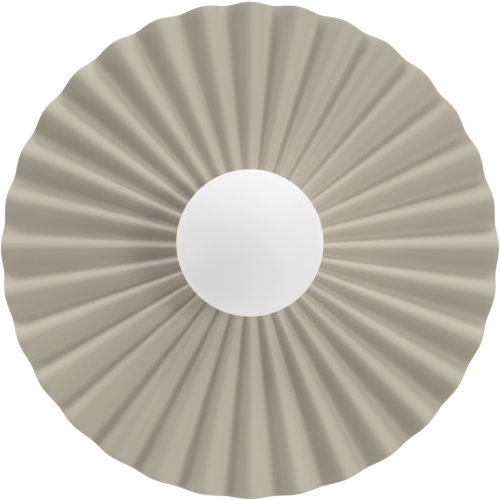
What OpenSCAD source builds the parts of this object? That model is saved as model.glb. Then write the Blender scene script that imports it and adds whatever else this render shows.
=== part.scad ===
// Wall lamp: a round pleated metal disc with an opal glass globe at its centre.
// Millimetres. The wall is the plane y = 0, the lamp stands out along -Y, and +Z is up.
// Each piece is drawn on a local axis whose z is the distance from the wall and whose y is up,
// and from_wall() then turns that axis to point out of the wall.

/* [Pleated disc] */
// Diameter over the rim
disc_d = 360; // [340:5:420]
// Thickness of the painted sheet
sheet_t = 1.2; // [0.8:0.1:1.6]
// Number of ridges round the disc
pleats = 32; // [28:1:36]
// Height from groove to ridge at the rim
pleat_depth = 8; // [6:0.2:10]
// How tight the ridges and grooves are folded, from soft to sharp
fold_sharpness = 0.55; // [0.4:0.05:0.9]
// How much broader the ridges are than the grooves, in degrees of one pleat's wave
ridge_widening = 8; // [0:1:14]
// How far the hub stands in front of the middle of the rim
hub_rise = 6; // [3:0.5:10]
// Radius at which the dome round the hub bends into the flat outer part
dome_r = 46; // [42:1:60]
// Width over which it bends
dome_bend = 24; // [16:1:30]
// Radius of the flat hub that is clamped
hub_r = 36; // [34:0.5:40]
// Radius from which the pleats have their full slope
pleat_start_r = 50; // [46:1:56]

/* [Base cup] */
// Outer diameter of the cup on the wall
base_d = 92; // [90:1:94]
// Depth from the wall to its front face
base_h = 38; // [36:0.5:40]
// Thickness of its sheet
base_wall = 1.2; // [1:0.1:1.6]
// Radius of its front corner, outside
base_corner = 6; // [4:0.5:8]

/* [Lamp cup] */
// Outer diameter of its threaded tube
cup_d = 41; // [40:0.5:42]
// Wall of the tube
cup_wall = 1.6; // [1.2:0.1:1.8]
// Diameter of the flange that carries the disc
flange_d = 62; // [58:1:66]
// Thickness of the flange
flange_t = 2.6; // [2:0.1:3.2]
// How far the cup reaches back from the base cup's face
cup_drop = 14; // [12:0.5:15]
// Thickness of the cup's floor
cup_floor_t = 2; // [1.6:0.1:2.4]
// Diameter of both ring nuts
ring_d = 54; // [50:1:58]
// Thickness of both ring nuts
ring_t = 2.6; // [2.2:0.1:3]
// Thickness of the fibre washer behind the disc
washer_t = 0.8; // [0.5:0.1:1.2]

/* [Globe] */
// Diameter of the glass ball
globe_d = 100; // [96:1:106]
// Wall of the glass
glass_t = 3; // [2.4:0.1:3.6]
// Outer diameter of the glass neck
neck_d = 30.8; // [30:0.1:31.4]
// Wall of the glass neck
neck_wall = 2.2; // [1.8:0.1:2.4]
// Length of the neck below the lamp cup's mouth
neck_drop = 14; // [12:0.5:15]
// Gap between the lamp cup's mouth and the glass above it
globe_gap = 2.5; // [2.2:0.1:3.5]
// Thickness of the rubber ring in the collar's groove
seal_t = 1.7; // [1.5:0.1:1.8]

/* [Bulb and holder] */
// Diameter of the ceramic holder
holder_d = 20.8; // [20.4:0.1:22]
// Height of the ceramic holder
holder_h = 24; // [22:0.5:26]
// Distance between the two pin loops
pin_spacing = 9; // [8.6:0.1:9.4]
// Length of a pin loop below the bulb's tongue
pin_length = 13; // [11:0.5:14]
// Thickness of the pin wire
pin_wire = 0.7; // [0.6:0.05:0.8]
// Diameter of the bulb's cover
bulb_d = 17.6; // [16.5:0.1:18.5]
// Length of the bulb above the holder, to its tip
bulb_h = 50; // [46:1:54]

/* [Bracket and wiring] */
// Thickness of the bracket's steel
bracket_t = 1.5; // [1.2:0.1:2]
// Distance between the two wall screws
wall_screw_spacing = 60; // [56:1:62]
// Width of a wall-screw slot
slot_w = 4.6; // [4:0.1:5]
// Length of a wall-screw slot, end to end
slot_l = 14; // [10:0.5:15]
// Height of the bracket's bent ears
ear_h = 14; // [12:0.5:18]
// Bore of the bush where the mains cable enters
cable_bore_d = 9; // [7:0.5:10]
// Distance between the poles of the terminal
pole_pitch = 11; // [10.8:0.1:11.4]
// Diameter of an internal lead over its insulation
lead_d = 2; // [1.6:0.1:2.2]
// Nominal diameter of the side and earth screws
screw_d = 4; // [3.5:0.5:4]

/* [Hidden] */
$fn = 96;

// Clearance of a thread drawn as two plain cylinders
thread_gap = 0.1;
// Clearance between pieces that slip together
slip = 0.3;
// Overrun of a cutting tool past the face that it cuts
over = 1;

disc_r = disc_d / 2;
base_r = base_d / 2;
base_bore_r = base_r - base_wall;
cup_r = cup_d / 2;
cup_bore_r = cup_r - cup_wall;
globe_r = globe_d / 2;

// Stack of flat faces on the axis, from the wall outwards
cup_floor_z = base_h - cup_drop;
holder_z = cup_floor_z + cup_floor_t;
flange_top_z = base_h + flange_t;
disc_back_z = flange_top_z + washer_t;
hub_z = disc_back_z + sheet_t / 2;
disc_front_z = disc_back_z + sheet_t;
cup_mouth_z = disc_front_z + ring_t;
globe_z = cup_mouth_z + globe_gap + sqrt(globe_r * globe_r - cup_r * cup_r);
holder_top_z = holder_z + holder_h;

module from_wall() { rotate([90, 0, 0]) children(); }
module at(x, y, z) { translate([x, y, z]) children(); }
module rod(r, z0, z1) { translate([0, 0, z0]) cylinder(r = r, h = z1 - z0); }
module tube(r_out, r_in, z0, z1) {
    difference() {
        rod(r_out, z0, z1);
        rod(r_in, z0 - over, z1 + over);
    }
}
module block(x, y, z0, z1) { translate([-x / 2, -y / 2, z0]) cube([x, y, z1 - z0]); }

// Pleated disc: the sheet's middle surface is a low dome that runs out flat, plus the pleats.
// The pleats keep one slope, so they get shallower towards the hub, where they fade out.
disc_hole_r = cup_r + slip;
// Places round one pleat, as shares of it from its ridge, closer together on the folds
fold_places = [0, 0.1, 0.22, 0.4, 0.5, 0.6, 0.78, 0.9];
// Radii of the sheet's rings of points: the flat hub, where the pleats start, and out to the rim
outer_shares = [0.09, 0.21, 0.38, 0.62, 1];
disc_radii = [
    disc_hole_r, hub_r, (hub_r + pleat_start_r) / 2, pleat_start_r,
    for (share = outer_shares) pleat_start_r + share * (disc_r - pleat_start_r)
];
places_round = pleats * len(fold_places);

function eased(t) = let (u = min(1, max(0, t))) u * u * (3 - 2 * u);
function dome_ramp(r) = dome_bend * ln(1 + exp((dome_r - r) / dome_bend));
function dome_share(r) = (dome_ramp(r) - dome_ramp(disc_r)) / (dome_ramp(hub_r) - dome_ramp(disc_r));
function sheet_mid_z(r) = r <= hub_r ? hub_z : hub_z - hub_rise * (1 - dome_share(r));
function pleat_half(r) = pleat_depth / 2 * r / disc_r * eased((r - hub_r) / (pleat_start_r - hub_r));
function wave_turn(place) = 360 * place - ridge_widening * sin(360 * place);
function pleat_wave(place) = asin(fold_sharpness * cos(wave_turn(place))) / asin(fold_sharpness);
function sheet_z(r, place) = sheet_mid_z(r) + pleat_half(r) * pleat_wave(place);
function sheet_point(r, pleat, place, lift) =
    let (angle = 360 * (pleat + place) / pleats)
    [r * cos(angle), r * sin(angle), sheet_z(r, place) + lift];

// Index of a point of the sheet: side 0 is the front and 1 the back
function sheet_index(side, ring, step) =
    (side * len(disc_radii) + ring) * places_round + step % places_round;
function two_triangles(a, b, c, d) = [[a, b, c], [a, c, d]];
function sheet_cell(side, ring, step) =
    let (a = sheet_index(side, ring, step), b = sheet_index(side, ring, step + 1),
         c = sheet_index(side, ring + 1, step + 1), d = sheet_index(side, ring + 1, step))
    side == 0 ? two_triangles(a, b, c, d) : two_triangles(d, c, b, a);
function sheet_edge(ring, step) =
    let (a = sheet_index(0, ring, step), b = sheet_index(0, ring, step + 1),
         c = sheet_index(1, ring, step + 1), d = sheet_index(1, ring, step))
    ring > 0 ? two_triangles(a, b, c, d) : two_triangles(d, c, b, a);

module pleated_disc() {
    points = [
        for (side = [1, -1]) for (r = disc_radii) for (pleat = [0 : pleats - 1]) for (place = fold_places)
            sheet_point(r, pleat, place, side * sheet_t / 2)
    ];
    faces = [
        for (step = [0 : places_round - 1]) each [
            for (side = [0, 1]) for (ring = [0 : len(disc_radii) - 2]) each sheet_cell(side, ring, step),
            for (ring = [0, len(disc_radii) - 1]) each sheet_edge(ring, step)
        ]
    ];
    color("#b4aa97") from_wall() polyhedron(points, faces, convexity = 12);
}

// Base cup: a spun cup, open to the wall, whose face carries the lamp cup
side_screw_z = 8;
base_hole_r = cup_r + slip;
earth_point = [25, -22];

module rounded_cup_outline(r, h, corner) {
    square([r - corner, h]);
    square([r, h - corner]);
    translate([r - corner, h - corner]) circle(r = corner);
}

module base_cup() {
    color("#b4aa97") from_wall() difference() {
        rotate_extrude() difference() {
            rounded_cup_outline(base_r, base_h, base_corner);
            rounded_cup_outline(base_bore_r, base_h - base_wall, base_corner - base_wall);
        }
        rod(base_hole_r, base_h - base_wall - over, base_h + over);
        for (side = [-1, 1]) at(side * base_bore_r, 0, side_screw_z)
            rotate([0, 90, 0]) rod(screw_d / 2 + slip, -over * 3, over * 3);
        at(earth_point.x, earth_point.y, 0)
            rod(screw_d / 2 + thread_gap, base_h - base_wall - over, base_h + over);
    }
}

// A slotted screw along +z: its head stands on z = 0 and its shank runs back below it
head_ratio = 0.9;
head_share = 0.6;
slot_share = 0.5;

module slotted_screw(d, length, head_r, head_h) {
    difference() {
        union() {
            rod(head_r, 0, head_h);
            rod(d / 2, -length, 0);
        }
        block(2 * head_r + over, d / 4, head_h * (1 - slot_share), head_h + over);
    }
}
module pan_screw(d, length) { slotted_screw(d, length, d * head_ratio, d * head_share); }

side_screw_length = 8;
head_gap = 0.05;

module base_side_screws() {
    color("#c9c7c2") from_wall() for (side = [-1, 1])
        at(side * (base_r + head_gap), 0, side_screw_z)
            rotate([0, side * 90, 0]) pan_screw(screw_d, side_screw_length);
}

// Wall bracket: a strap with two bent ears, a wide middle and a tab for the terminal
ear_reach = base_bore_r - 1.4;
ear_w = 16;
bend_r = 1.5;
strap_mid_l = 72;
strap_mid_w = 26;
tab_w = 32;
tab_top = 33;
bush_hole_r = cable_bore_d / 2 + 3.5;
bracket_earth = [16.5, -6.5];
terminal_y = 24;

module ear_profile() {
    // One half of the strap seen from its edge: flat, bend, ear
    inner = ear_reach - bracket_t - bend_r;
    square([inner, bracket_t]);
    translate([inner, bend_r + bracket_t]) difference() {
        circle(r = bend_r + bracket_t);
        circle(r = bend_r);
        translate([-2 * ear_h, -2 * ear_h]) square([2 * ear_h, 4 * ear_h]);
        translate([-2 * ear_h, 0]) square([4 * ear_h, 2 * ear_h]);
    }
    translate([ear_reach - bracket_t, bend_r + bracket_t]) square([bracket_t, ear_h - bend_r - bracket_t]);
}

module slot(length, width, z0, z1) {
    for (side = [-1, 1]) at(side * (length - width) / 2, 0, 0) rod(width / 2, z0, z1);
    block(length - width, width, z0, z1);
}

module wall_bracket() {
    color("#bfc1c2") from_wall() difference() {
        union() {
            for (side = [0, 1]) mirror([side, 0, 0]) rotate([90, 0, 0])
                translate([0, 0, -ear_w / 2]) linear_extrude(ear_w) ear_profile();
            block(strap_mid_l, strap_mid_w, 0, bracket_t);
            translate([-tab_w / 2, 0, 0]) cube([tab_w, tab_top, bracket_t]);
        }
        rod(bush_hole_r, -over, bracket_t + over);
        for (side = [-1, 1]) {
            at(side * wall_screw_spacing / 2, 0, 0) slot(slot_l, slot_w, -over, bracket_t + over);
            at(side * ear_reach, 0, side_screw_z) rotate([0, 90, 0])
                rod(screw_d / 2 + thread_gap, -bracket_t - over, bracket_t + over);
            at(side * pole_pitch / 2, terminal_y, 0)
                rod(fixing_d / 2 + thread_gap, -over, bracket_t + over);
        }
        at(bracket_earth.x, bracket_earth.y, 0) rod(screw_d / 2 + thread_gap, -over, bracket_t + over);
    }
}

// Cable bush: pressed into the bracket's hole from the front
bush_lip_w = 2.5;
bush_lip_t = 2;

module cable_bush() {
    color("#2b2b2b") from_wall() difference() {
        union() {
            rod(bush_hole_r - thread_gap, 0, bracket_t + bush_lip_t);
            rod(bush_hole_r + bush_lip_w, bracket_t, bracket_t + bush_lip_t);
        }
        rod(cable_bore_d / 2, -over, bracket_t + bush_lip_t + over);
    }
}

// Terminal: three poles side by side, each with a brass tube and two clamping screws
pole_l = 17;
pole_w = pole_pitch - 1.4;
pole_h = 9;
tower_r = 3.4;
tower_h = 6;
tower_offset = 4.3;
tube_r = 2.9;
tube_bore_r = 1.9;
tube_z = bracket_t + 5.2;
clamp_d = 3;
fixing_d = 2.6;
fixing_head_r = 2;
fixing_head_h = 1.6;
web_h = 3;

module at_poles() { for (pole = [-1 : 1]) at(pole * pole_pitch, terminal_y, 0) children(); }
module at_clamps() { at_poles() for (end = [-1, 1]) at(0, end * tower_offset, 0) children(); }
module along_pole() { rotate([90, 0, 0]) children(); }

module terminal_body() {
    pole_top = bracket_t + pole_h;
    color("#e9e6dc") from_wall() difference() {
        union() {
            at_poles() block(pole_w, pole_l, bracket_t, pole_top);
            at_clamps() rod(tower_r, pole_top, pole_top + tower_h);
            at(0, terminal_y, 0) block(2 * pole_pitch, pole_l - 4, bracket_t, bracket_t + web_h);
        }
        at_poles() at(0, 0, tube_z) along_pole() rod(tube_r + thread_gap, -pole_l, pole_l);
        at_clamps() rod(clamp_d / 2 + thread_gap, tube_z, pole_top + tower_h + over);
        for (side = [-1, 1]) at(side * pole_pitch / 2, terminal_y, 0) {
            rod(fixing_d / 2 + thread_gap, 0, pole_top);
            rod(fixing_head_r + thread_gap, bracket_t + web_h, pole_top + over);
        }
    }
}

module terminal_tubes() {
    color("#c9a24a") from_wall() difference() {
        at_poles() at(0, 0, tube_z) along_pole() tube(tube_r, tube_bore_r, -pole_l / 2 + 1, pole_l / 2 - 1);
        at_clamps() rod(clamp_d / 2 + thread_gap, tube_z, tube_z + tube_r + over);
    }
}

clamp_l = 5;
clamp_foot_z = tube_z + lead_d / 2 + slip;

module terminal_screws() {
    clamp_top_z = clamp_foot_z + clamp_l;
    color("#c7c4bd") from_wall() at_clamps() difference() {
        rod(clamp_d / 2, clamp_foot_z, clamp_top_z);
        block(clamp_d + over, clamp_d / 4, clamp_top_z - clamp_d / 3, clamp_top_z + over);
    }
}

module terminal_fixings() {
    color("#c7c4bd") from_wall() for (side = [-1, 1])
        at(side * pole_pitch / 2, terminal_y, bracket_t + web_h)
            slotted_screw(fixing_d, web_h + bracket_t - slip, fixing_head_r, fixing_head_h);
}

// Earth points: a screw and a ring tag on the bracket, and the same inside the base cup's face
tag_t = 0.8;
tag_r = 4.2;
tag_neck = 4;
base_inner_z = base_h - base_wall;

module ring_tag(turn) {
    difference() {
        union() {
            rod(tag_r, 0, tag_t);
            rotate([0, 0, turn]) at(tag_r + tag_neck / 2 - over, 0, 0) block(tag_neck, lead_d + 1, 0, tag_t);
        }
        rod(screw_d / 2 + thread_gap, -over, tag_t + over);
    }
}

module earth_screws() {
    color("#c9a24a") from_wall() {
        at(bracket_earth.x, bracket_earth.y, bracket_t + tag_t) pan_screw(screw_d, bracket_t + tag_t - slip);
        at(earth_point.x, earth_point.y, base_inner_z - tag_t) mirror([0, 0, 1])
            pan_screw(screw_d, base_wall + tag_t - slip);
    }
}

module earth_tags() {
    color("#d3d3d0") from_wall() {
        at(bracket_earth.x, bracket_earth.y, bracket_t) ring_tag(90);
        at(bracket_earth.x, bracket_earth.y, bracket_t) ring_tag(-20);
        at(earth_point.x, earth_point.y, base_inner_z - tag_t) ring_tag(50);
    }
}

// Lamp cup: a turned cup with a flange, threaded outside for two ring nuts and inside for the collar
cup_hole_r = 5;
holder_screw_offset = 7;
holder_screw_d = 3;

module lamp_cup() {
    color("#b4aa97") from_wall() difference() {
        rotate_extrude() polygon([
            [cup_hole_r, cup_floor_z], [cup_r, cup_floor_z], [cup_r, base_h], [flange_d / 2, base_h],
            [flange_d / 2, flange_top_z], [cup_r, flange_top_z], [cup_r, cup_mouth_z],
            [cup_bore_r, cup_mouth_z], [cup_bore_r, holder_z], [cup_hole_r, holder_z]
        ]);
        for (side = [-1, 1]) at(0, side * holder_screw_offset, 0)
            rod(holder_screw_d / 2 + thread_gap, cup_floor_z - over, holder_z + over);
    }
}

// Ring nut with four notches for a pin spanner
notch_w = 4;
notch_deep = 1.8;

module ring_nut(z0) {
    difference() {
        tube(ring_d / 2, cup_r + thread_gap, z0, z0 + ring_t);
        for (turn = [45 : 90 : 315]) rotate([0, 0, turn])
            at(ring_d / 2, 0, 0) block(2 * notch_deep, notch_w, z0 - over, z0 + ring_t + over);
    }
}

module cup_lock_ring() { color("#bfc1c2") from_wall() ring_nut(base_h - base_wall - ring_t); }
module disc_ring() { color("#b4aa97") from_wall() ring_nut(disc_front_z); }
module disc_washer() {
    color("#7d6a52") from_wall() tube(flange_d / 2, disc_hole_r, flange_top_z, disc_back_z);
}

// Insulating bush in the cup's floor, round the two leads
cup_bush_lip = 1.4;
cup_bush_bore_r = 3.8;

module cup_bush() {
    color("#e9e6dc") from_wall() difference() {
        union() {
            rod(cup_hole_r + 2, cup_floor_z - cup_bush_lip, cup_floor_z);
            rod(cup_hole_r - thread_gap, cup_floor_z - cup_bush_lip, holder_z - thread_gap);
        }
        rod(cup_bush_bore_r, cup_floor_z - cup_bush_lip - over, holder_z + over);
    }
}

// Lampholder: a ceramic body with a slot for the bulb's tongue and a well for each pin loop
tongue_w = 13.6;
tongue_t = 4.2;
tongue_in = 3.6;
loop_w = 2.6;
well_w = loop_w + 1.6;
well_t = 2.6;
well_floor_z = holder_top_z - tongue_in - pin_length - 1.4;
holder_seat_z = holder_z + 6;
holder_head_r = 2.7;
lead_hole_x = 2.4;

module lampholder_body() {
    color("#f2efe8") from_wall() difference() {
        rod(holder_d / 2, holder_z, holder_top_z);
        block(tongue_w + 2 * slip, tongue_t + 2 * slip, holder_top_z - tongue_in - slip, holder_top_z + over);
        for (side = [-1, 1]) {
            at(side * pin_spacing / 2, 0, 0) block(well_w, well_t, well_floor_z, holder_top_z);
            at(side * lead_hole_x, 0, 0) rod(lead_d / 2 + thread_gap, holder_z - over, well_floor_z + over);
            at(0, side * holder_screw_offset, 0) {
                rod(holder_screw_d / 2 + thread_gap, holder_z - over, holder_top_z + over);
                rod(holder_head_r + thread_gap, holder_seat_z, holder_top_z + over);
            }
        }
    }
}

// Spring contacts: in each well a foot over the lead's end, and a leaf on each side of the pin loop
leaf_t = 0.35;
leaf_gap = pin_wire + 2 * slip;
leaf_top_z = holder_top_z - tongue_in - 1;

module lampholder_contacts() {
    color("#c9a24a") from_wall() for (side = [-1, 1]) at(side * pin_spacing / 2, 0, 0) {
        block(well_w - 2 * thread_gap, leaf_gap + 2 * leaf_t, well_floor_z, well_floor_z + leaf_t);
        for (face = [-1, 1]) at(0, face * (leaf_gap + leaf_t) / 2, 0)
            block(loop_w, leaf_t, well_floor_z, leaf_top_z);
    }
}

module lampholder_screws() {
    color("#c7c4bd") from_wall() for (side = [-1, 1]) at(0, side * holder_screw_offset, holder_seat_z)
        pan_screw(holder_screw_d, holder_seat_z - cup_floor_z);
}

// Leads: each is one tube swept along a smooth curve through points chosen by hand
lead_sides = 8;
lead_steps = 2;

function unit(v) = v / norm(v);
function curve_point(p, i, t) =
    let (last = len(p) - 1, a = p[max(0, i - 1)], b = p[i], c = p[i + 1], d = p[min(last, i + 2)])
    0.5 * (2 * b + (c - a) * t + (2 * a - 5 * b + 4 * c - d) * t * t + (3 * b - a - 3 * c + d) * t * t * t);
function smooth_route(p) = concat(
    [for (i = [0 : len(p) - 2]) for (step = [0 : lead_steps - 1]) curve_point(p, i, step / lead_steps)],
    [p[len(p) - 1]]
);
function heading(path, i) = unit(path[min(len(path) - 1, i + 1)] - path[max(0, i - 1)]);

module lead_along(route, side_hint) {
    path = smooth_route(route);
    rings = len(path);
    turns = [for (k = [0 : lead_sides - 1]) 360 * k / lead_sides];
    points = [
        for (i = [0 : rings - 1])
            let (ahead = heading(path, i), across = unit(cross(ahead, side_hint)), up = cross(ahead, across))
            for (turn = turns) path[i] + lead_d / 2 * (cos(turn) * across + sin(turn) * up)
    ];
    faces = concat(
        [[for (k = [0 : lead_sides - 1]) k]],
        [for (i = [0 : rings - 2]) for (k = [0 : lead_sides - 1])
            let (next = (k + 1) % lead_sides, a = i * lead_sides, b = a + lead_sides)
            each two_triangles(a + k, b + k, b + next, a + next)],
        [[for (k = [lead_sides - 1 : -1 : 0]) (rings - 1) * lead_sides + k]]
    );
    polyhedron(points, faces);
}

// The live and neutral leads loop out of the terminal's upper end and back to the holder's wells,
// the earth link lies beside the bracket's tab, and the earth lead climbs to the base cup's face
tube_end_y = terminal_y + pole_l / 2 + 0.5;
loop_y = tube_end_y + 3.5;
behind_cup_z = cup_floor_z - 3.8;
on_tag_z = bracket_t + tag_t + lead_d / 2 + 0.2;
under_tag_z = base_inner_z - tag_t - lead_d / 2 - 0.2;
live_route = [
    [pole_pitch, terminal_y + 2, tube_z], [pole_pitch, tube_end_y, tube_z],
    [pole_pitch, loop_y - 1, tube_z + 2], [pole_pitch, loop_y, tube_z + 6.3],
    [10, terminal_y + 10, behind_cup_z - 2.2], [8, terminal_y + 2, behind_cup_z - 0.2],
    [5, 16, behind_cup_z], [3, 7, behind_cup_z + 0.2],
    [lead_hole_x, 1.6, behind_cup_z + 1], [lead_hole_x, 0, cup_floor_z], [lead_hole_x, 0, well_floor_z - slip]
];
neutral_route = [for (p = live_route) [-p.x, p.y, p.z]];
earth_link_route = [
    [0, terminal_y + 2, tube_z], [0, tube_end_y, tube_z], [1, loop_y - 0.5, tube_z - 0.7],
    [5, loop_y + 1, tube_z - 2.1], [12.5, loop_y + 0.3, on_tag_z + 0.5], [18.8, 32, on_tag_z + 0.5],
    [19.5, 24, on_tag_z + 0.5], [19.5, 14, on_tag_z + 0.5], [18, 6, on_tag_z + 0.3],
    [bracket_earth.x, bracket_earth.y + 8.5, on_tag_z + 0.1],
    [bracket_earth.x, bracket_earth.y + 6.5, on_tag_z]
];
earth_lead_route = [
    [bracket_earth.x + 6, bracket_earth.y - 2.1, on_tag_z], [26, -9.4, on_tag_z + 0.2],
    [30, -9.6, on_tag_z + 3], [32.5, -9.2, on_tag_z + 9], [33, -9.5, base_inner_z / 2 + 2],
    [earth_point.x + 7.5, earth_point.y + 11, under_tag_z - 8],
    [earth_point.x + 6, earth_point.y + 8, under_tag_z - 3],
    [earth_point.x + 4.4, earth_point.y + 5.2, under_tag_z - 0.2],
    [earth_point.x + 4, earth_point.y + 4.7, under_tag_z]
];

module live_lead() { color("#6b3e26") from_wall() lead_along(live_route, [1, 0, 0]); }
module neutral_lead() { color("#2f5fa8") from_wall() lead_along(neutral_route, [1, 0, 0]); }
module earth_link() { color("#5f9a3a") from_wall() lead_along(earth_link_route, [0, 0, 1]); }
module earth_lead() { color("#5f9a3a") from_wall() lead_along(earth_lead_route, [0, 1, 0]); }

// Globe: a ball with a plain neck, and a threaded collar cemented round the neck
neck_foot_z = cup_mouth_z - neck_drop;
neck_r = neck_d / 2;
collar_r = cup_bore_r - slip;
collar_lip_t = 1;
collar_foot_z = neck_foot_z - collar_lip_t;
shoulder_foot_z = cup_mouth_z + slip;
shoulder_top_z = shoulder_foot_z + 1.6;
seal_r = cup_bore_r - 2 * thread_gap;
seal_z = cup_mouth_z - 3.4;
groove_w = seal_t + 2 * slip;
groove_r = seal_r - seal_t - thread_gap;

module globe() {
    color("#f4f3f0") from_wall() difference() {
        union() {
            at(0, 0, globe_z) sphere(r = globe_r);
            rod(neck_r, neck_foot_z, globe_z - globe_r / 2);
        }
        at(0, 0, globe_z) sphere(r = globe_r - glass_t);
        rod(neck_r - neck_wall, neck_foot_z - over, globe_z - globe_r / 2);
    }
}

module globe_collar() {
    color("#c3c3c1") from_wall() difference() {
        union() {
            rod(collar_r, collar_foot_z, shoulder_top_z);
            rod(cup_r, shoulder_foot_z, shoulder_top_z);
        }
        rod(neck_r + thread_gap, neck_foot_z - thread_gap, shoulder_top_z + over);
        rod(neck_r - neck_wall, collar_foot_z - over, neck_foot_z + over);
        at(0, 0, globe_z) sphere(r = globe_r + thread_gap);
        tube(collar_r + over, groove_r, seal_z - groove_w / 2, seal_z + groove_w / 2);
    }
}

module globe_seal() {
    color("#8e8e8a") from_wall() at(0, 0, seal_z)
        rotate_extrude() translate([seal_r - seal_t / 2, 0]) circle(d = seal_t, $fn = 32);
}

// Bulb: a plug-in LED lamp with two wire loops
tongue_foot_z = holder_top_z - tongue_in;
bulb_foot_z = holder_top_z + slip;
bulb_lip_z = bulb_foot_z + 8;
bulb_lip_t = 2;
bulb_cover_z = bulb_lip_z + bulb_lip_t;
bulb_r = bulb_d / 2;
bulb_wall = 0.9;
bulb_spigot_h = 4;
bulb_tip_z = holder_top_z + bulb_h;
bulb_dome_z = bulb_tip_z - bulb_r;
core_r = 5;
core_foot_z = bulb_cover_z + bulb_spigot_h;
core_top_z = bulb_dome_z - 2;
pin_root_z = tongue_foot_z + 3;

module bulb_base() {
    color("#efeee9") from_wall() difference() {
        union() {
            block(tongue_w, tongue_t, tongue_foot_z, bulb_foot_z + over);
            rod(bulb_r - 1, bulb_foot_z, bulb_lip_z);
            rod(bulb_r, bulb_lip_z, bulb_cover_z);
            rod(bulb_r - bulb_wall - thread_gap, bulb_cover_z, core_foot_z);
        }
        for (side = [-1, 1]) at(side * pin_spacing / 2, 0, 0)
            block(loop_w + 2 * thread_gap, pin_wire + 2 * thread_gap, tongue_foot_z - over, pin_root_z);
    }
}

module bulb_pins() {
    wire_r = pin_wire / 2;
    half = (loop_w - pin_wire) / 2;
    loop_foot_z = tongue_foot_z - pin_length + half + wire_r;
    color("#d6d6d4") from_wall() for (side = [-1, 1]) at(side * pin_spacing / 2, 0, 0) {
        for (leg = [-1, 1]) at(leg * half, 0, 0) rod(wire_r, loop_foot_z, pin_root_z);
        at(0, 0, loop_foot_z) rotate([90, 0, 0]) rotate([0, 0, 180])
            rotate_extrude(angle = 180) translate([half, 0]) circle(r = wire_r, $fn = 24);
    }
}

chip_w = 2.8;
chip_t = 0.7;
chip_rows = 5;

module bulb_core() {
    chip_pitch = (core_top_z - core_foot_z) / chip_rows;
    flat_r = core_r * cos(30);
    color("#f0e7b8") from_wall() {
        translate([0, 0, core_foot_z]) cylinder(r = core_r, h = core_top_z - core_foot_z, $fn = 6);
        for (turn = [30 : 60 : 330]) for (row = [0 : chip_rows - 1])
            rotate([0, 0, turn]) at(flat_r + chip_t / 2 - 0.1, 0, core_foot_z + chip_pitch * (row + 0.5))
                cube([chip_t, chip_w, chip_w], center = true);
    }
}

module bulb_cover() {
    color("#f7f5ee") from_wall() difference() {
        union() {
            rod(bulb_r, bulb_cover_z, bulb_dome_z);
            at(0, 0, bulb_dome_z) sphere(r = bulb_r);
        }
        rod(bulb_r - bulb_wall, bulb_cover_z - over, bulb_dome_z);
        at(0, 0, bulb_dome_z) sphere(r = bulb_r - bulb_wall);
    }
}

pleated_disc();
base_cup();
base_side_screws();
wall_bracket();
cable_bush();
terminal_body();
terminal_tubes();
terminal_screws();
terminal_fixings();
earth_screws();
earth_tags();
live_lead();
neutral_lead();
earth_link();
earth_lead();
lamp_cup();
cup_lock_ring();
disc_washer();
disc_ring();
cup_bush();
lampholder_body();
lampholder_contacts();
lampholder_screws();
globe();
globe_collar();
globe_seal();
bulb_base();
bulb_pins();
bulb_core();
bulb_cover();
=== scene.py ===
# %% [markdown]
# # A pleated wall lamp
#
# The object is a wall lamp: a round metal disc pressed into radial pleats, with an opal glass
# globe at its centre. Behind the disc stand a base cup, a bracket and the wiring. The packed
# model already holds every piece at its real size and place, so this script only dresses it:
# it gives each piece its finish, replaces the pieces that need a finer mesh, and lights them.

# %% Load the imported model
import math
import bmesh
import bpy
from mathutils import Matrix, Vector


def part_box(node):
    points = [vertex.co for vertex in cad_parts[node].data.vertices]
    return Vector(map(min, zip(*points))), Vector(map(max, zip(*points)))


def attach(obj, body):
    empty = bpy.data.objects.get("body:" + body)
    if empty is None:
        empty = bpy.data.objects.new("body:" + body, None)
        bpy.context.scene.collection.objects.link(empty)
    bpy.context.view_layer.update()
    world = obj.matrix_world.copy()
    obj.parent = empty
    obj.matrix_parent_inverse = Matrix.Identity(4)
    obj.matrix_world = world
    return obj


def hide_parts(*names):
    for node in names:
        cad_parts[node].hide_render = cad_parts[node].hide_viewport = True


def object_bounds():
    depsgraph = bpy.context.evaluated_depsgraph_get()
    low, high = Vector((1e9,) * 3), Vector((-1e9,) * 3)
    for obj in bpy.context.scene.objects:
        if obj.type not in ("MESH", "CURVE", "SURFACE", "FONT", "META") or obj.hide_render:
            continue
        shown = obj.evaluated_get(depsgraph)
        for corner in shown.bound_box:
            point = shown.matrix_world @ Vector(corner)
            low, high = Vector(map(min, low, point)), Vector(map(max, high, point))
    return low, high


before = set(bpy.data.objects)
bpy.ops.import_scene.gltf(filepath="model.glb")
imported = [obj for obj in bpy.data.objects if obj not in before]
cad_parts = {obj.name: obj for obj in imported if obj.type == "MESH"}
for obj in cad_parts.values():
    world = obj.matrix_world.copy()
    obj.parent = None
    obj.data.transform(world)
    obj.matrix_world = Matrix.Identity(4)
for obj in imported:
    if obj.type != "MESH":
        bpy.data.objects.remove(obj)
cad_low, cad_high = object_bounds()
cad_size = [round(high - low, 4) for low, high in zip(cad_low, cad_high)]
print("nodes:", len(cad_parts), "size in metres:", cad_size)

# %% [markdown]
# ## Units and small helpers
#
# The model is in metres and the lamp's drawings are in millimetres, so one short name turns
# one into the other. The wall is the plane y = 0 and the lamp stands out along -Y. Round pieces
# are easiest to describe round their own axis, by an angle, a radius and a distance from the
# wall, so a second helper turns those three numbers into a point. Every new piece here is made
# of rings of points, so two more helpers give the angles of a ring and the faces between two.

# %% Units and helpers
mm = 0.001


def from_wall(radius, angle, distance):
    """A point from its radius and angle round the lamp's axis, and its distance from the wall."""
    return (radius * math.cos(angle), -distance, radius * math.sin(angle))


def angles_round(steps):
    """Equal steps of angle, once round the circle."""
    return [2 * math.pi * step / steps for step in range(steps)]


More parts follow.
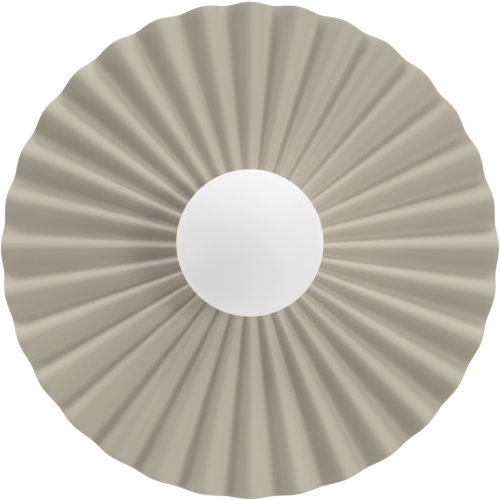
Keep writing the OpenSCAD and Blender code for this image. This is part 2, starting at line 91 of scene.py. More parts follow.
def faces_between(here, there, around, flip=False):
    """Faces that join two rings of points. A ring is given by the number of its first point."""
    faces = []
    for step in range(around):
        after = (step + 1) % around
        face = (here + step, here + after, there + after, there + step)
        faces.append(face[:1] + face[:0:-1] if flip else face)
    return faces


def new_piece(name, points, faces, body, node):
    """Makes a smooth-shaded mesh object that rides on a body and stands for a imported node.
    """
    mesh = bpy.data.meshes.new(name)
    mesh.from_pydata(points, [], faces)
    mesh.validate()
    mesh.shade_smooth()
    piece = bpy.data.objects.new(name, mesh)
    bpy.context.scene.collection.objects.link(piece)
    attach(piece, body)
    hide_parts(node)
    print(name, "has", len(points), "points and", len(faces), "faces")
    return piece


print("100 mm up the wall is the point", from_wall(100 * mm, math.pi / 2, 0))

# %% [markdown]
# ## The pleated disc
#
# The real disc is one round sheet, pressed between two ribbed tools. Its middle surface is a low
# dome round the hub that runs out flat. The pleats ride on that surface: the ridges are broad and
# rounded, the grooves between them are narrower, and every fold keeps one slope, so the pleats
# get shallower towards the centre. A lattice with a wave modifier could fake this, but a formula
# for the height gives the exact folds, so the mesh is a polar grid whose points are lifted by the
# formula. At the rim it presses the folds 0.4 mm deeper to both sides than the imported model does,
# as the photograph's shading asks. The sheet's edge is a half-round of its own thickness, because
# a cut edge under paint is never sharp.

# %% Sizes of the pleated disc
disc_low, disc_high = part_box("pleated_disc")
disc_r = (disc_high[0] - disc_low[0]) / 2
hub_distance = -disc_low[1]
sheet_t = 1.2 * mm
pleats = 32
pleat_depth = 8.8 * mm
fold_sharpness = 0.55
ridge_widening = math.radians(8)
hub_rise = 6 * mm
dome_r = 46 * mm
dome_bend = 24 * mm
hub_r = 36 * mm
pleat_start_r = 50 * mm
disc_hole_r = 20.8 * mm
hub_middle = hub_distance - sheet_t / 2
rim_middle = hub_middle - hub_rise
print("disc radius", round(disc_r / mm, 2), "mm")
print("rim stands", round(rim_middle / mm, 2), "mm off the wall")

# %% Height of the sheet


def eased(share):
    """A smooth step from 0 to 1."""
    share = min(1.0, max(0.0, share))
    return share * share * (3 - 2 * share)


def dome_ramp(radius):
    """Rises inwards from the flat outer part, with a soft bend at dome_r."""
    return dome_bend * math.log(1 + math.exp((dome_r - radius) / dome_bend))


def sheet_middle(radius):
    """Distance of the middle surface from the wall."""
    if radius <= hub_r:
        return hub_middle
    share = (dome_ramp(radius) - dome_ramp(disc_r)) / (dome_ramp(hub_r) - dome_ramp(disc_r))
    return rim_middle + hub_rise * share


def pleat_half(radius):
    """Half the depth of the pleats, which fade out towards the hub."""
    return pleat_depth / 2 * radius / disc_r * eased((radius - hub_r) / (pleat_start_r - hub_r))


def pleat_wave(angle):
    """One at a ridge and minus one in a groove, with the ridges a little broader."""
    turn = pleats * angle
    turn = turn - ridge_widening * math.sin(turn)
    return math.asin(fold_sharpness * math.cos(turn)) / math.asin(fold_sharpness)


print("middle of the sheet at 90 mm:", round(sheet_middle(90 * mm) / mm, 2), "mm off the wall")

# %% Cross-section of the sheet
fade_rings = 6
outer_rings = 26
edge_steps = 6


def spaced(first, last, count):
    """Even steps from first to last, without first itself."""
    return [first + (last - first) * i / count for i in range(1, count + 1)]


def disc_outline():
    """Pairs of radius and lift along the cross-section: out along the front and back again."""
    half = sheet_t / 2
    flat_end = disc_r - half
    radii = [disc_hole_r, hub_r] + spaced(hub_r, pleat_start_r, fade_rings)
    radii += spaced(pleat_start_r, flat_end, outer_rings)[:-1]
    edge = []
    for i in range(edge_steps + 1):
        turn = math.pi / 2 - math.pi * i / edge_steps
        edge.append((flat_end + half * math.cos(turn), half * math.sin(turn)))
    return [(r, half) for r in radii] + edge + [(r, -half) for r in reversed(radii)]


print("the cross-section has", len(disc_outline()), "corners")

# %% Mesh of the pleated disc
steps_per_pleat = 32


def build_disc():
    """Lifts a polar grid by the sheet's formula, and closes it round the rim and the hole."""
    outline = disc_outline()
    angles = angles_round(pleats * steps_per_pleat)
    waves = [pleat_wave(angle) for angle in angles]
    points = []
    for radius, lift in outline:
        middle = sheet_middle(radius)
        half = pleat_half(radius)
        for angle, wave in zip(angles, waves):
            points.append(from_wall(radius, angle, middle + half * wave + lift))
    faces = []
    for ring in range(len(outline)):
        after = (ring + 1) % len(outline)
        faces += faces_between(ring * len(angles), after * len(angles), len(angles), flip=True)
    return new_piece("pleated_disc_sheet", points, faces, "fixture", "pleated_disc")


disc = build_disc()

# %% [markdown]
# ## Turned pieces with a thread
#
# The lamp cup holds the disc between two ring nuts, and the globe's collar screws into the cup.
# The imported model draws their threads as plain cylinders. On the real pieces the thread is a
# helical groove, so both are turned again here: a closed profile is spun round the lamp's axis,
# and along the threaded side the radius dips by a wave that advances one pitch for each turn. A
# screw modifier makes the same shape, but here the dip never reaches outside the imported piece.

# %% Spinning a profile with a thread
# A thread is four numbers: where it starts and ends, its pitch and its depth, in millimetres.
turning_steps = 128
cuts_per_pitch = 10
threaded_side = 1
crisp_angle = math.radians(50)


def thread_dip(distance, angle, thread):
    """How far the groove reaches in at a place on the threaded side, fading out at both ends."""
    first, last, pitch, depth = thread
    turn = 2 * math.pi * distance / pitch - angle
    fade = eased((distance - first) / pitch) * eased((last - distance) / pitch)
    return depth * fade * (0.5 - 0.5 * math.cos(turn))


def turned_rings(profile, thread):
    """Points along a closed profile in millimetres, close together where the thread is."""
    rings = []
    for i, (here, there) in enumerate(zip(profile, profile[1:] + profile[:1])):
        cuts = 1
        if i == threaded_side:
            cuts = round(abs(there[1] - here[1]) / thread[2] * cuts_per_pitch)
        for cut in range(cuts):
            share = cut / cuts
            radius = here[0] + share * (there[0] - here[0])
            distance = here[1] + share * (there[1] - here[1])
            rings.append((radius, distance, i == threaded_side))
    return rings


def turned_piece(name, body, node, profile, thread):
    """Spins the profile into a mesh whose edges stay crisp."""
    rings = turned_rings(profile, thread)
    points = []
    for radius, distance, cut in rings:
        for angle in angles_round(turning_steps):
            dip = thread_dip(distance, angle, thread) if cut else 0.0
            points.append(from_wall((radius - dip) * mm, angle, distance * mm))
    faces = []
    for ring in range(len(rings)):
        after = (ring + 1) % len(rings)
        faces += faces_between(ring * turning_steps, after * turning_steps, turning_steps)
    piece = new_piece(name, points, faces, body, node)
    piece.data.set_sharp_from_angle(angle=crisp_angle)
    return piece


print("a thread has", cuts_per_pitch, "rings of", turning_steps, "points to each pitch")

# %% Drilling holes
drill_sides = 32


def new_drill(x, height, radius, low, high):
    """A rod along the lamp's axis that reaches from low to high, all in millimetres."""
    shape = bmesh.new()
    bmesh.ops.create_cone(shape, cap_ends=True, segments=drill_sides, radius1=radius * mm,
                          radius2=radius * mm, depth=(high - low) * mm,
                          matrix=Matrix.Rotation(math.pi / 2, 4, "X"))
    middle = Vector((x, -(low + high) / 2, height)) * mm
    bmesh.ops.translate(shape, verts=shape.verts, vec=middle)
    bmesh.ops.recalc_face_normals(shape, faces=shape.faces)
    mesh = bpy.data.meshes.new("drill")
    shape.to_mesh(mesh)
    shape.free()
    cutter = bpy.data.objects.new("drill", mesh)
    bpy.context.scene.collection.objects.link(cutter)
    return cutter


def drill(piece, places, radius, low, high):
    """Cuts holes along the lamp's axis with a Boolean modifier, all in millimetres."""
    for x, height in places:
        cutter = new_drill(x, height, radius, low, high)
        hole = piece.modifiers.new("hole", "BOOLEAN")
        hole.object = cutter
        hole.solver = "EXACT"
        drilled = piece.evaluated_get(bpy.context.evaluated_depsgraph_get())
        old_mesh, piece.data = piece.data, bpy.data.meshes.new_from_object(drilled)
        piece.modifiers.clear()
        bpy.data.objects.remove(cutter)
        bpy.data.meshes.remove(old_mesh)
    print(piece.name, "has", len(places), "holes and", len(piece.data.polygons), "faces")


print("holes are cut with rods of", drill_sides, "sides")

# %% The lamp cup
# A profile is pairs of radius and distance from the wall, in millimetres. The side from its
# second pair to its third is the one that threaded_side names. Two screws come through the cup's
# floor and hold the lampholder, so the rod for their holes reaches a little past it both ways.
cup_profile = [(5, 24), (20.5, 24), (20.5, 38), (31, 38), (31, 40.6), (20.5, 40.6),
               (20.5, 45.2), (18.9, 45.2), (18.9, 26), (5, 26)]
cup_thread = (24, 34.2, 1.5, 0.4)
holder_screw_places = [(0, 7), (0, -7)]
holder_screw_r = 1.6
holder_drill_low, holder_drill_high = 23, 27
lamp_cup = turned_piece("threaded_lamp_cup", "fixture", "lamp_cup",
                        cup_profile, cup_thread)
drill(lamp_cup, holder_screw_places, holder_screw_r, holder_drill_low, holder_drill_high)

# %% The globe's collar
# The groove near its front end takes the seal, and its hollow seat carries the glass.
collar_outside = [(13.2, 30.2), (18.6, 30.2), (18.6, 40.65), (16.9, 40.65), (16.9, 42.95),
                  (18.6, 42.95), (18.6, 45.5), (20.5, 45.5), (20.5, 47.1)]
collar_seat = [(19.38, 47.1), (18.4, 46.7), (17.4, 46.32), (16.4, 45.96), (15.5, 45.66)]
collar_bore = [(15.5, 31.1), (13.2, 31.1)]
collar_thread = (30.2, 40.2, 4.0, 0.6)
globe_collar = turned_piece("threaded_globe_collar", "globe", "globe_collar",
                            collar_outside + collar_seat + collar_bore, collar_thread)

# %% [markdown]
# ## The blown globe
#
# The globe is blown as one closed wall of glass with a short straight neck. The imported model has
# the same shape, but the corners of its facets crowd together unevenly at the front, and in a
# soft even light that shows as a dot. The wall is spun again here with the same sizes: rings
# from the neck's foot to the front and back along the inside, closed by one point at each pole. A
# sphere with a solidify modifier would need its neck joined on, and the joint would show.

# %% Spinning the glass wall
# All sizes are in millimetres, and places are distances from the wall.
globe_centre = 93.3043
globe_radius, glass_wall = 50.0, 3.0
neck_radius, neck_wall, neck_foot = 15.4, 2.2, 31.2
arc_steps = 64


def wall_side(radius, neck):
    """Rings on one side of the wall, from the neck's foot nearly to the pole."""
    first = math.asin(neck / radius)
    side = [(neck, neck_foot)]
    for step in range(arc_steps):
        turn = first + (math.pi - first) * step / arc_steps
        side.append((radius * math.sin(turn), globe_centre - radius * math.cos(turn)))
    return side


def blown_wall(radius, neck, first, inside):
    """Points and faces of one side of the wall. Its points are numbered from first."""
    side = wall_side(radius, neck)
    points = [from_wall(ring_r * mm, angle, distance * mm)
              for ring_r, distance in side for angle in angles_round(turning_steps)]
    points.append(from_wall(0, 0, (globe_centre + radius) * mm))
    faces = []
    starts = [first + ring * turning_steps for ring in range(len(side))]
    for here, there in zip(starts, starts[1:]):
        faces += faces_between(here, there, turning_steps, flip=inside)
    pole = first + len(points) - 1
    for step in range(turning_steps):
        edge = (starts[-1] + step, starts[-1] + (step + 1) % turning_steps)
        faces.append((edge[::-1] if inside else edge) + (pole,))
    return points, faces


def blown_globe():
    """Joins the outer and the inner side of the wall at the neck's foot."""
    points, faces = blown_wall(globe_radius, neck_radius, 0, inside=False)
    inner_foot = len(points)
    inner_points, inner_faces = blown_wall(globe_radius - glass_wall, neck_radius - neck_wall,
                                           inner_foot, inside=True)
    points += inner_points
    faces += inner_faces + faces_between(inner_foot, 0, turning_steps)
    piece = new_piece("blown_globe", points, faces, "globe", "globe")
    piece.data.set_sharp_from_angle(angle=crisp_angle)
    return piece


globe = blown_globe()

# %% [markdown]
# ## The internal leads
#
# Four short leads join the terminal to the lampholder and to the two earth points. A real lead
# is a round plastic sleeve that bends softly, so each one is a tube swept along a smooth curve
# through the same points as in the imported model. A curve object with a bevel would do the same,
# but a swept mesh can also carry two finishes: the earth leads are green with two yellow
# stripes, and the stripes are simply rows of faces with another material.

# %% Sweeping a lead
lead_r = 1.0 * mm
lead_sides = 20
lead_steps = 8
end_round = 0.25 * mm


def smooth_route(points):
    """A Catmull-Rom curve through the points, given in millimetres, as points in metres."""
    knots = [Vector((x, -z, y)) * mm for x, y, z in points]
    path = []
    for i in range(len(knots) - 1):
        a, b, c = knots[max(0, i - 1)], knots[i], knots[i + 1]
        d = knots[min(len(knots) - 1, i + 2)]
        for step in range(lead_steps):
            t = step / lead_steps
            bend = (2 * a - 5 * b + 4 * c - d) * t ** 2
            twist = (3 * b - a - 3 * c + d) * t ** 3
            path.append(0.5 * (2 * b + (c - a) * t + bend + twist))
    path.append(knots[-1])
    return path


def sweep_rings(path):
    """Centre, heading and radius of each ring along a sleeve.

    The first and the last ring are narrower, so that the ends aren't sharp, and an extra ring
    near each end keeps the full radius there.
    """
    last = len(path) - 1
    rings = []
    for i, centre in enumerate(path):
        heading = (path[min(last, i + 1)] - path[max(0, i - 1)]).normalized()
        rings.append([centre, heading, lead_r])
    rings[0][2] = rings[-1][2] = lead_r - end_round
    start, second, before_last = rings[0], rings[1], rings[-2]
    rings.insert(-2, [before_last[0] - end_round * before_last[1], before_last[1], lead_r])
    rings.insert(1, [start[0] + end_round * second[1], second[1], lead_r])
    return rings


print("a sleeve is", 2 * lead_r / mm, "mm thick and has", lead_sides, "sides")

# %% Building a lead


def build_lead(name, route):
    """Sweeps a sleeve along a route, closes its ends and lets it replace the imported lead."""
    rings = sweep_rings(smooth_route(route))
    across = rings[0][1].orthogonal().normalized()
    points, faces = [], []
    for centre, heading, radius in rings:
        across = (across - across.dot(heading) * heading).normalized()
        up = heading.cross(across)
        for turn in angles_round(lead_sides):
            points.append(centre + radius * (math.cos(turn) * across + math.sin(turn) * up))
    last = (len(rings) - 1) * lead_sides
    for here in range(0, last, lead_sides):
        faces += faces_between(here, here + lead_sides, lead_sides)
    faces.append(tuple(reversed(range(lead_sides))))
    faces.append(tuple(last + side for side in range(lead_sides)))
    return new_piece(name + "_sleeve", points, faces, "fixture", name)


# %% Routes of the leads, in millimetres
# Each point is its place to the right, its height and its distance from the wall.
live_route = [
    (11, 26, 6.7), (11, 33, 6.7), (11, 35.5, 8.7), (11, 36.5, 13), (10, 34, 18), (8, 26, 20),
    (5, 16, 20.2), (3, 7, 20.4), (2.4, 1.6, 21.2), (2.4, 0, 24), (2.4, 0, 31.7),
]
neutral_route = [(-x, y, z) for x, y, z in live_route]
earth_link_route = [
    (0, 26, 6.7), (0, 33, 6.7), (1, 36, 6), (5, 37.5, 4.6), (12.5, 36.8, 4), (18.8, 32, 4),
    (19.5, 24, 4), (19.5, 14, 4), (18, 6, 3.8), (16.5, 2, 3.6), (16.5, 0, 3.5),
]
earth_lead_route = [
    (22.5, -8.6, 3.5), (26, -9.4, 3.7), (30, -9.6, 6.5), (32.5, -9.2, 12.5), (33, -9.5, 20.4),
    (32.5, -11, 26.8), (31, -14, 31.8), (29.4, -16.8, 34.6), (29, -17.3, 34.8),
]
live_lead = build_lead("live_lead", live_route)
neutral_lead = build_lead("neutral_lead", neutral_route)
earth_link = build_lead("earth_link", earth_link_route)
earth_lead = build_lead("earth_lead", earth_lead_route)

# %% [markdown]
# ## Shared surface effects
#
# Several finishes need the same small effects: the soft ripple of powder coat, the fine rings of
# turned metal, and a slow drift of tone that keeps a plain surface from looking like a flat fill.
# Each effect is one shader node group with named inputs and outputs, built once. A group only
# gives values, and the shader itself stays in each material.

# %% Helpers for node groups
number_socket = "NodeSocketFloat"


def new_group(name, inputs, outputs):
    """A shader node group with float inputs, given with their defaults, and float outputs."""
    group = bpy.data.node_groups.new(name, "ShaderNodeTree")
    for label, value in inputs.items():
        socket = group.interface.new_socket(name=label, in_out="INPUT", socket_type=number_socket)
        socket.default_value = value
    for label in outputs:
        group.interface.new_socket(name=label, in_out="OUTPUT", socket_type=number_socket)
    return group


def add_node(tree, kind, **settings):
    """Adds a node and sets its properties by name."""
    node = tree.nodes.new(kind)
    for label, value in settings.items():
        setattr(node, label, value)
    return node


def add_math(tree, operation, first, second):
    """A Math node whose two inputs are links or plain numbers."""
    node = add_node(tree, "ShaderNodeMath", operation=operation)
    for socket, value in zip(node.inputs, (first, second)):
        if isinstance(value, bpy.types.NodeSocket):
            tree.links.new(value, socket)
        else:
            socket.default_value = value
    return node.outputs[0]


def add_noise(tree, position, scale, detail):
    """A Noise node over a position. Its scale is a link or a plain number of waves per metre."""
    noise = add_node(tree, "ShaderNodeTexNoise")
    noise.inputs["Detail"].default_value = detail
    tree.links.new(position, noise.inputs["Vector"])
    if isinstance(scale, bpy.types.NodeSocket):
        tree.links.new(scale, noise.inputs["Scale"])
    else:
        noise.inputs["Scale"].default_value = scale
    return noise.outputs["Fac"]


print("a group's sockets are made as", number_socket)

# %% Group: tone drift and fine ripple
ripple_usual, grain_usual, drift_usual = 900.0, 0.35, 14.0
grain_per_ripple = 4.5


def build_ripple_group():
    """Height: a fine ripple with grain on it. Drift: a slow change between 0 and 1."""
    group = new_group("coat ripple",
                      {"Ripples per metre": ripple_usual, "Grain": grain_usual,
                       "Drifts per metre": drift_usual},
                      ["Height", "Drift"])
    start = add_node(group, "NodeGroupInput")
    end = add_node(group, "NodeGroupOutput")
    place = add_node(group, "ShaderNodeTexCoord").outputs["Object"]
    ripple = add_noise(group, place, start.outputs["Ripples per metre"], 1.0)
    grain_scale = add_math(group, "MULTIPLY", start.outputs["Ripples per metre"], grain_per_ripple)
    grain = add_noise(group, place, grain_scale, 1.0)
    grain = add_math(group, "MULTIPLY", grain, start.outputs["Grain"])
    group.links.new(add_math(group, "ADD", ripple, grain), end.inputs["Height"])
    drift = add_noise(group, place, start.outputs["Drifts per metre"], 3.0)
    group.links.new(drift, end.inputs["Drift"])
    return group


ripple_group = build_ripple_group()
given = [socket.name for socket in ripple_group.interface.items_tree if socket.in_out == "OUTPUT"]
print("group", ripple_group.name, "gives", given)

# %% Group: rings of turned metal
rings_usual, unevenness_usual = 2600.0, 0.5
uneven_waves = 700.0


def build_turning_group():
    """Height: fine rings round the lamp's axis, as a lathe leaves them, with noise along them."""
    group = new_group("turning rings",
                      {"Rings per metre": rings_usual, "Unevenness": unevenness_usual}, ["Height"])
    start = add_node(group, "NodeGroupInput")
    end = add_node(group, "NodeGroupOutput")
    place = add_node(group, "ShaderNodeTexCoord").outputs["Object"]
    split = add_node(group, "ShaderNodeSeparateXYZ")
    group.links.new(place, split.inputs[0])
    across = add_math(group, "MULTIPLY", split.outputs["X"], split.outputs["X"])
    upward = add_math(group, "MULTIPLY", split.outputs["Z"], split.outputs["Z"])
    radius = add_math(group, "SQRT", add_math(group, "ADD", across, upward), 0.0)
    along = add_math(group, "ADD", radius, split.outputs["Y"])
    join = add_node(group, "ShaderNodeCombineXYZ")
    along = add_math(group, "MULTIPLY", along, start.outputs["Rings per metre"])
    group.links.new(along, join.inputs["X"])
    rings = add_noise(group, join.outputs[0], 1.0, 2.0)
    rough = add_noise(group, place, uneven_waves, 2.0)
    rough = add_math(group, "MULTIPLY", rough, start.outputs["Unevenness"])
    group.links.new(add_math(group, "ADD", rings, rough), end.inputs["Height"])
    return group


turning_group = build_turning_group()
print("group", turning_group.name, "is ready")

# %% [markdown]
# ## Finishes
#
# Most pieces share one recipe: a Principled shader whose colour drifts a little between a light
# and a dark tone, whose roughness drifts with it, and whose normal gets a fine bump. A function
# builds that recipe from a few numbers, so each finish below is one call that says what the real
# surface is: powder coat, zinc plating, brass, rubber, moulded plastic or ceramic.

# %% Colours for a finish


def srgb(red, green, blue):
    """A colour as it is read off a screen, 0 to 255, as the linear values that shaders use."""
    def linear(value):
        value = value / 255
        return value / 12.92 if value <= 0.04045 else ((value + 0.055) / 1.055) ** 2.4
    return (linear(red), linear(green), linear(blue), 1.0)


def mix_colours(tree, share, dark, light):
    """A colour between two, by a share that varies over the surface."""
    mix = add_node(tree, "ShaderNodeMix", data_type="RGBA")
    colours = [socket for socket in mix.inputs if socket.type == "RGBA"]
    colours[0].default_value = dark
    colours[1].default_value = light
    tree.links.new(share, mix.inputs["Factor"])
    return next(socket for socket in mix.outputs if socket.type == "RGBA")


print("a middle grey of 128 is", round(srgb(128, 128, 128)[0], 3), "in a shader")

# %% Recipe for a finish
# A noise seldom leaves the range between these two values.
noise_low, noise_high = 0.3, 0.7


def add_range(tree, noise, low, high):
    """Stretches a noise so that it varies from low to high."""
    node = add_node(tree, "ShaderNodeMapRange")
    node.inputs["From Min"].default_value = noise_low
    node.inputs["From Max"].default_value = noise_high
    node.inputs["To Min"].default_value = low
    node.inputs["To Max"].default_value = high
    tree.links.new(noise, node.inputs["Value"])
    return node.outputs["Result"]


def new_finish(name, dark, light, roughness, ripple=ripple_usual, bump_mm=0.01, drift=drift_usual,
               metallic=0.0, specular=0.5, turned=False):
    """A material whose tone and roughness drift between two values, with a fine bump."""
    material = bpy.data.materials.new(name)
    material.use_nodes = True
    tree = material.node_tree
    shader = tree.nodes["Principled BSDF"]
    shader.inputs["Metallic"].default_value = metallic
    shader.inputs["Specular IOR Level"].default_value = specular
    coat = add_node(tree, "ShaderNodeGroup", node_tree=ripple_group)
    coat.inputs["Ripples per metre"].default_value = ripple
    coat.inputs["Drifts per metre"].default_value = drift
    share = add_range(tree, coat.outputs["Drift"], 0.0, 1.0)
    tree.links.new(mix_colours(tree, share, dark, light), shader.inputs["Base Color"])
    tree.links.new(add_range(tree, coat.outputs["Drift"], *roughness), shader.inputs["Roughness"])
    bump = add_node(tree, "ShaderNodeBump")
    bump.inputs["Distance"].default_value = bump_mm * mm
    source = add_node(tree, "ShaderNodeGroup", node_tree=turning_group) if turned else coat
    tree.links.new(source.outputs["Height"], bump.inputs["Height"])
    tree.links.new(bump.outputs["Normal"], shader.inputs["Normal"])
    return material


def dress(material, *names):
    """Gives a finish to CAD nodes by name, or to pieces."""
    for name in names:
        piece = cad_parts[name] if isinstance(name, str) else name
        piece.data.materials.clear()
        piece.data.materials.append(material)
        print(piece.name, "gets", material.name)


# %% Powder coat
powder_coat = new_finish("greige powder coat", srgb(173, 166, 151), srgb(178, 171, 156),
                         (0.42, 0.5), ripple=1100.0, bump_mm=0.03, specular=0.4)
dress(powder_coat, disc, lamp_cup, "base_cup", "disc_ring")

# %% Metals
zinc = new_finish("bright zinc plating", srgb(150, 152, 154), srgb(168, 169, 169), (0.34, 0.48),
                  ripple=500.0, bump_mm=0.01, metallic=1.0)
brass = new_finish("brass", srgb(178, 142, 70), srgb(196, 160, 88), (0.28, 0.4),
                   bump_mm=0.008, metallic=1.0)
aluminium = new_finish("turned aluminium", srgb(172, 173, 174), srgb(186, 187, 187), (0.3, 0.4),
                       bump_mm=0.012, metallic=1.0, turned=True)
dress(zinc, "wall_bracket", "base_side_screws", "terminal_screws", "terminal_fixings", "earth_tags",
      "cup_lock_ring", "lampholder_screws", "bulb_pins")
dress(brass, "terminal_tubes", "earth_screws", "lampholder_contacts")
dress(aluminium, globe_collar)

# %% Rubber, fibre, plastic and ceramic
black_rubber = new_finish("black rubber", srgb(30, 30, 30), srgb(38, 38, 38), (0.6, 0.75),
                          bump_mm=0.02)
grey_rubber = new_finish("grey rubber", srgb(128, 128, 123), srgb(140, 140, 135), (0.55, 0.7),
                         bump_mm=0.02)
fibre = new_finish("vulcanised fibre", srgb(116, 98, 75), srgb(138, 118, 92), (0.6, 0.75),
                   bump_mm=0.03)
moulded = new_finish("white insulation", srgb(226, 223, 212), srgb(234, 231, 222), (0.4, 0.5))
ceramic = new_finish("glazed ceramic", srgb(232, 229, 221), srgb(241, 238, 231), (0.12, 0.2),
                     ripple=250.0, bump_mm=0.015)
dress(black_rubber, "cable_bush")
dress(grey_rubber, "globe_seal")
dress(fibre, "disc_washer")
dress(moulded, "terminal_body", "cup_bush", "bulb_base")
dress(ceramic, "lampholder_body")

# %% Stripes on the earth leads
# Two stripes on opposite sides of the sleeve, each as wide as four rows of its faces.
stripe_sides = (0, 1, 2, 3, 10, 11, 12, 13)


def add_stripes(lead, material):
    """Gives a second finish to the rows of faces that make the stripes, but not to the ends."""
    lead.data.materials.append(material)
    for face in lead.data.polygons[:-2]:
        if face.index % lead_sides in stripe_sides:
            face.material_index = 1
    print(lead.name, "has stripes on", len(stripe_sides), "of its", lead_sides, "sides")


# %% Leads and bulb
brown = new_finish("brown sleeve", srgb(98, 56, 34), srgb(112, 66, 42), (0.35, 0.45))
blue = new_finish("blue sleeve", srgb(42, 90, 164), srgb(52, 102, 178), (0.35, 0.45))
green = new_finish("green sleeve", srgb(40, 128, 62), srgb(52, 142, 74), (0.35, 0.45))
yellow = new_finish("yellow stripe", srgb(222, 196, 46), srgb(232, 208, 60), (0.35, 0.45))
frosted = new_finish("frosted bulb", srgb(240, 238, 230), srgb(246, 244, 238), (0.45, 0.55))
chips = new_finish("bulb board", srgb(232, 222, 170), srgb(240, 232, 186), (0.4, 0.5))
dress(brown, live_lead)
dress(blue, neutral_lead)
dress(green, earth_link, earth_lead)
for earth in (earth_link, earth_lead):
    add_stripes(earth, yellow)
dress(frosted, "bulb_cover")
dress(chips, "bulb_core")

# %% [markdown]
# ## The opal globe
#
# The globe is blown opal glass with an etched, matte surface. Light that enters the white glass
# is scattered through it and across the hollow inside, so the globe looks nearly evenly bright
# and has no sharp highlight. Subsurface scattering spreads light inside the closed glass wall.
# The light that crosses the hollow and comes out elsewhere is out of its reach, so a weak even
# emission stands for it, and the recipe's drift and bump stay on top for the etched skin.

# %% Opal glass
scatter_reach = 4 * mm
hollow_glow = 0.42
glow_colour = (1.0, 0.99, 0.99, 1.0)
opal = new_finish("etched opal glass", srgb(168, 167, 168), srgb(172, 171, 172), (0.5, 0.6),
                  ripple=1500.0, bump_mm=0.004, specular=0.2)
opal_shader = opal.node_tree.nodes["Principled BSDF"]
opal_shader.inputs["Subsurface Weight"].default_value = 1.0
opal_shader.inputs["Subsurface Radius"].default_value = (1.0, 1.0, 1.0)
opal_shader.inputs["Subsurface Scale"].default_value = scatter_reach
opal_shader.inputs["Emission Color"].default_value = glow_colour
opal_shader.inputs["Emission Strength"].default_value = hollow_glow
dress(opal, globe)

# %% [markdown]
# ## Camera
#
# The lamp was photographed from straight ahead and a little below its centre. The camera stands
# as far away as the ratio of globe to disc in the picture says, and it aims a little below the
# disc's centre, as the place of the disc in the picture says.

# %% Camera
# Distances in metres, sensor and focal length in millimetres as Blender wants them.
camera_distance = 0.9095
camera_below = math.radians(3.25)
sensor = 36.0
focal = 90.19
aim_right, aim_down = 0.07 * mm, 1.55 * mm


def add_camera():
    """A camera below the lamp's axis that looks slightly up at the middle of the rim."""
    camera_data = bpy.data.cameras.new("camera")
    camera_data.sensor_width = sensor
    camera_data.lens = focal
    camera = bpy.data.objects.new("camera", camera_data)
    aim = Vector((aim_right, -rim_middle, -aim_down))
    backwards = Vector((0, -math.cos(camera_below), -math.sin(camera_below)))
    camera.location = aim + camera_distance * backwards
    camera.rotation_euler = (math.pi / 2 + camera_below, 0, 0)
    bpy.context.scene.collection.objects.link(camera)
    bpy.context.scene.camera = camera
    return camera


camera = add_camera()
print("camera at", [round(value, 3) for value in camera.location])

# %% [markdown]
# ## Light
#
# In the photograph a broad soft light stands above the lamp, nearly in the plane of the disc, so
# that it rakes across the pleats. Weaker light comes from the front and the right, and a little
# from the left edge. One big area light could stand for each, but distant lamps with a wide angle
# give every pleat the same light. Each strength was found by rendering the lamp with one light at
# a time and asking which mix of those renders comes closest to the photograph. The two lights
# from behind do nothing in the photograph's view, and show the bracket and the wiring in others.

# %% A distant light
# How far off a light's object stands, which only matters to someone who looks at the scene.
light_place = 2.0


def add_sun(name, azimuth, polar, strength, softness):
    """A distant light, by its angle round the lamp's axis and its angle away from that axis.

    Both are in degrees, and so is its softness, the width of the light in the sky.
    """
    light = bpy.data.lights.new(name, "SUN")
    light.energy = strength
    light.angle = math.radians(softness)
    source = bpy.data.objects.new(name, light)
    azimuth, polar = math.radians(azimuth), math.radians(polar)
    direction = Vector(from_wall(math.sin(polar), azimuth, math.cos(polar)))
    source.rotation_euler = direction.to_track_quat("Z", "Y").to_euler()
    source.location = light_place * direction
    bpy.context.scene.collection.objects.link(source)


print("a light's object stands", light_place, "m from the lamp")

# %% The studio's lights
# For each light: azimuth from the right, polar angle from the front, and strength.
upper_band = [(40, 72, 0.28), (60, 80, 0.55), (80, 80, 0.58), (120, 80, 0.72), (140, 80, 0.56),
              (120, 72, 0.30)]
upper_front = [(40, 46, 0.30), (80, 46, 0.25), (120, 46, 0.27)]
right_side = [(-30, 60, 0.42), (0, 60, 0.42), (0, 28, 0.76)]
left_edge = [(185, 95, 0.6)]
from_behind = [(180, 150, 0.8), (0, 150, 0.8)]
front_softness, back_softness = 12, 40
studio = (("upper_band", upper_band, front_softness), ("upper_front", upper_front, front_softness),
          ("right_side", right_side, front_softness), ("left_edge", left_edge, front_softness),
          ("from_behind", from_behind, back_softness))
for group_name, lights, softness in studio:
    for number, (azimuth, polar, strength) in enumerate(lights, 1):
        add_sun(f"{group_name}_{number}", azimuth, polar, strength, softness)
    print(group_name, "has", len(lights), "lights of", softness, "degrees")

# %% [markdown]
# ## The surround
#
# The photograph's background is white. More light on the lamp would make it so, and would wash
# out the colours. Light Path tells the world which rays the camera sees, alone or by way of a
# reflection, so these find plain white, and the light on the lamp comes from a faint surround.

# %% World
white = (1.0, 1.0, 1.0, 1.0)
surround_strength = 0.03


def seen_rays(tree):
    """1 for the camera, for reflections and for clear glass, and 0 for the light on the object."""
    paths = add_node(tree, "ShaderNodeLightPath")
    seen = add_math(tree, "MAXIMUM", paths.outputs["Is Camera Ray"], paths.outputs["Is Glossy Ray"])
    return add_math(tree, "MAXIMUM", seen, paths.outputs["Is Transmission Ray"])


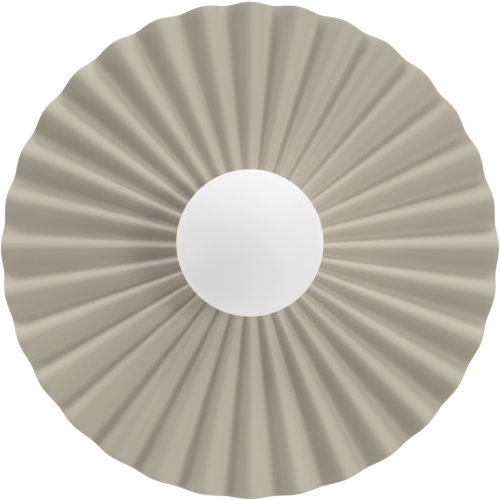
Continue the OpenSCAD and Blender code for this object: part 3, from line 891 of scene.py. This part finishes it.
def add_background(tree, strength):
    """A plain white light from all around."""
    background = add_node(tree, "ShaderNodeBackground")
    background.inputs["Color"].default_value = white
    background.inputs["Strength"].default_value = strength
    return background.outputs[0]


def build_world():
    """White to the camera and in reflections, and a faint surround for the light on the object."""
    world = bpy.data.worlds.new("studio")
    bpy.context.scene.world = world
    world.use_nodes = True
    tree = world.node_tree
    tree.nodes.clear()
    mix = add_node(tree, "ShaderNodeMixShader")
    out = add_node(tree, "ShaderNodeOutputWorld")
    tree.links.new(seen_rays(tree), mix.inputs["Fac"])
    tree.links.new(add_background(tree, surround_strength), mix.inputs[1])
    tree.links.new(add_background(tree, 1.0), mix.inputs[2])
    tree.links.new(mix.outputs[0], out.inputs["Surface"])


build_world()
bpy.context.scene.view_settings.view_transform = "Standard"
print("surround strength", surround_strength, "and white where the camera sees it")

# %% [markdown]
# ## The floor
#
# A wall lamp hangs well above the floor, so the floor is a pale plane more than a metre below,
# out of the camera's view. It casts no shadow itself, because some of the weak lights come from
# below it. Its paint comes out a little darker than the white surround, so the rays that the
# camera sees get some white on top, and the floor's end doesn't show from behind.

# %% Floor
floor_height = -1.3
floor_half = 2.0
floor_lift = 0.11


def floor_paint():
    """A pale paint that gets a little white on top where the camera sees it."""
    paint = new_finish("pale floor paint", srgb(232, 232, 230), srgb(236, 236, 234), (0.7, 0.8),
                       ripple=200.0, bump_mm=0.02, drift=2.0)
    tree = paint.node_tree
    shader = tree.nodes["Principled BSDF"]
    shader.inputs["Emission Color"].default_value = white
    lift = add_math(tree, "MULTIPLY", seen_rays(tree), floor_lift)
    tree.links.new(lift, shader.inputs["Emission Strength"])
    return paint


def build_floor():
    """One square plane."""
    mesh = bpy.data.meshes.new("pale_floor")
    corners = [(x * floor_half, y * floor_half, floor_height)
               for x, y in ((-1, -1), (1, -1), (1, 1), (-1, 1))]
    mesh.from_pydata(corners, [], [(0, 1, 2, 3)])
    floor = bpy.data.objects.new("pale_floor", mesh)
    bpy.context.scene.collection.objects.link(floor)
    floor.visible_shadow = False
    dress(floor_paint(), floor)


build_floor()
print("floor at", floor_height, "m")
